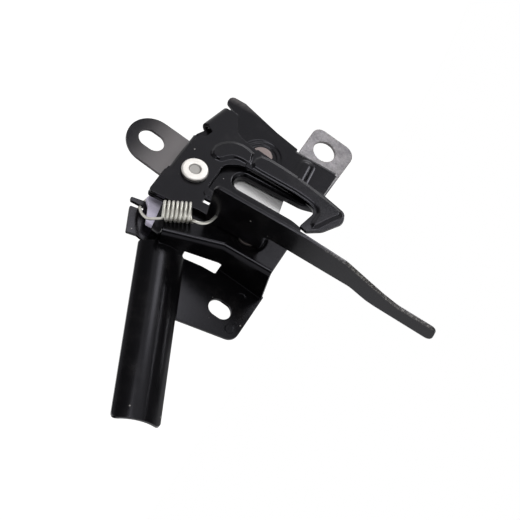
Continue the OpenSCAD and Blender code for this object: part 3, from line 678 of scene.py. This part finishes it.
def light_room(scene, fill):
    """The room: white where it is seen or mirrored, softer where it lights matt surfaces."""
    world = bpy.data.worlds.new("white_room")
    scene.world = world
    world.use_nodes = True
    tree = world.node_tree
    tree.nodes.clear()
    ray = add(tree, "ShaderNodeLightPath").outputs
    seen = add(tree, "ShaderNodeMath", {
        0: ray["Is Camera Ray"], 1: ray["Is Glossy Ray"]}, operation="MAXIMUM")
    seen = add(tree, "ShaderNodeMath", {
        0: seen.outputs["Value"], 1: ray["Is Transmission Ray"]}, operation="MAXIMUM")
    level = add(tree, "ShaderNodeMapRange", {"Value": seen.outputs["Value"], "To Min": fill, "To Max": 1.0})
    glow = add(tree, "ShaderNodeBackground", {"Color": WHITE, "Strength": level.outputs["Result"]})
    add(tree, "ShaderNodeOutputWorld", {"Surface": glow.outputs["Background"]})


def floor_paint():
    """Pale matt paint: lifted to white for the camera, with the latch's shadow, and white in mirrors."""
    material, tree, shader, _ = new_material("pale_painted_floor")
    shader.inputs["Base Color"].default_value = opaque(linear("#f4f4f3"))
    shader.inputs["Roughness"].default_value = 0.9
    ray = add(tree, "ShaderNodeLightPath").outputs
    lift = add(tree, "ShaderNodeMath", {0: ray["Is Camera Ray"], 1: FLOOR_LIFT}, operation="MULTIPLY")
    lifted = add(tree, "ShaderNodeEmission", {"Color": WHITE, "Strength": lift.outputs["Value"]})
    matt = add(tree, "ShaderNodeAddShader", {0: shader.outputs["BSDF"], 1: lifted.outputs["Emission"]})
    mirrored = add(tree, "ShaderNodeMath", {
        0: ray["Is Glossy Ray"], 1: ray["Is Transmission Ray"]}, operation="MAXIMUM")
    white = add(tree, "ShaderNodeEmission", {"Color": WHITE, "Strength": 1.0})
    either = add(tree, "ShaderNodeMixShader", {
        0: mirrored.outputs["Value"], 1: matt.outputs["Shader"], 2: white.outputs["Emission"]})
    output = next(n for n in tree.nodes if n.type == "OUTPUT_MATERIAL")
    tree.links.new(either.outputs["Shader"], output.inputs["Surface"])
    return material


class LATCH_OT_stage(bpy.types.Operator):
    """White studio: room light, floor, lamps, flags and camera"""

    bl_idname = "latch.stage"
    bl_label = "Stage"

    def execute(self, context):
        scene = context.scene
        stage = scene.latch_stage
        scene.view_settings.view_transform = "Standard"
        light_room(scene, stage.fill)

        bpy.ops.object.select_all(action="DESELECT")
        bpy.ops.mesh.primitive_plane_add(size=FLOOR_SIZE, location=(0, 0, -stage.floor_drop))
        floor = context.object
        floor.name = "studio_floor"
        floor.data.materials.append(floor_paint())

        # lamps that the faces and edges of the latch mirror to the camera, and cards that keep faces dark
        panel_lamp("guard_box", around(-26.5, 1.5), (0.13, 0.14), 5.2, roll=32)
        panel_lamp("ear_panel", around(-42.5, 8), (0.11, 0.10), 14.0)
        panel_lamp("front_box", around(3, -6, 0.72), (0.22, 0.26), 5.5)
        panel_lamp("side_panel", around(-68, -8), (0.13, 0.2), 4.0)
        panel_lamp("top_panel", Vector((0.25, -0.1, 0.75)), (0.5, 0.12), 4.0)
        panel_lamp("upper_line", around(-41, 22), (0.22, 0.012), 14.0, roll=42)
        panel_lamp("outer_line", around(-72, 38), (0.22, 0.012), 10.0, roll=76)
        black = flag_cloth("black_flock_cloth", "#050505")
        grey = flag_cloth("grey_felt_cloth", "#8a8a8a")
        flag("camera_flag", around(35, 8, 0.9), (0.42, 0.6), black)
        flag("upper_left_flag", around(-62, 32, 0.68), (0.8, 0.42), grey)
        on_floor = Vector((0.04, -0.62, CARD_LIFT - stage.floor_drop))
        flag("floor_flag", on_floor, (0.42, 1.0), grey, flat=True)
        flag("rear_right_flag", around(143, -12, 0.44), (0.34, 0.17), black)

        data = bpy.data.cameras.new("photo_camera")
        data.lens = stage.lens
        data.sensor_width = SENSOR_WIDTH
        camera = bpy.data.objects.new("photo_camera", data)
        camera.location = stage.camera_place
        camera.rotation_euler = Euler(stage.camera_turn)
        scene.collection.objects.link(camera)
        scene.camera = camera
        return {"FINISHED"}


STEPS = ("base_plate", "safety_hook", "levers", "rivets", "springs", "stage")


class LATCH_PT_panel(bpy.types.Panel):
    """Lists the latch's sizes, colours and steps"""

    bl_label = "Bonnet Latch"
    bl_idname = "LATCH_PT_panel"
    bl_space_type = "VIEW_3D"
    bl_region_type = "UI"
    bl_category = "Latch"

    def draw(self, context):
        scene = context.scene
        for group in (scene.latch_sizes, scene.latch_colours, scene.latch_stage):
            box = self.layout.box()
            for key in group.__annotations__:
                box.prop(group, key)
        for step in STEPS:
            self.layout.operator("latch." + step)


CLASSES = (
    LatchSizes, LatchColours, LatchStage,
    LATCH_OT_base_plate, LATCH_OT_safety_hook, LATCH_OT_levers, LATCH_OT_rivets, LATCH_OT_springs,
    LATCH_OT_stage, LATCH_PT_panel,
)


def register():
    for cls in CLASSES:
        bpy.utils.register_class(cls)
    bpy.types.Scene.latch_sizes = PointerProperty(type=LatchSizes)
    bpy.types.Scene.latch_colours = PointerProperty(type=LatchColours)
    bpy.types.Scene.latch_stage = PointerProperty(type=LatchStage)


def unregister():
    del bpy.types.Scene.latch_stage
    del bpy.types.Scene.latch_colours
    del bpy.types.Scene.latch_sizes
    for cls in reversed(CLASSES):
        bpy.utils.unregister_class(cls)


def main():
    register()
    for step in STEPS:
        getattr(bpy.ops.latch, step)()


if __name__ == "__main__":
    main()
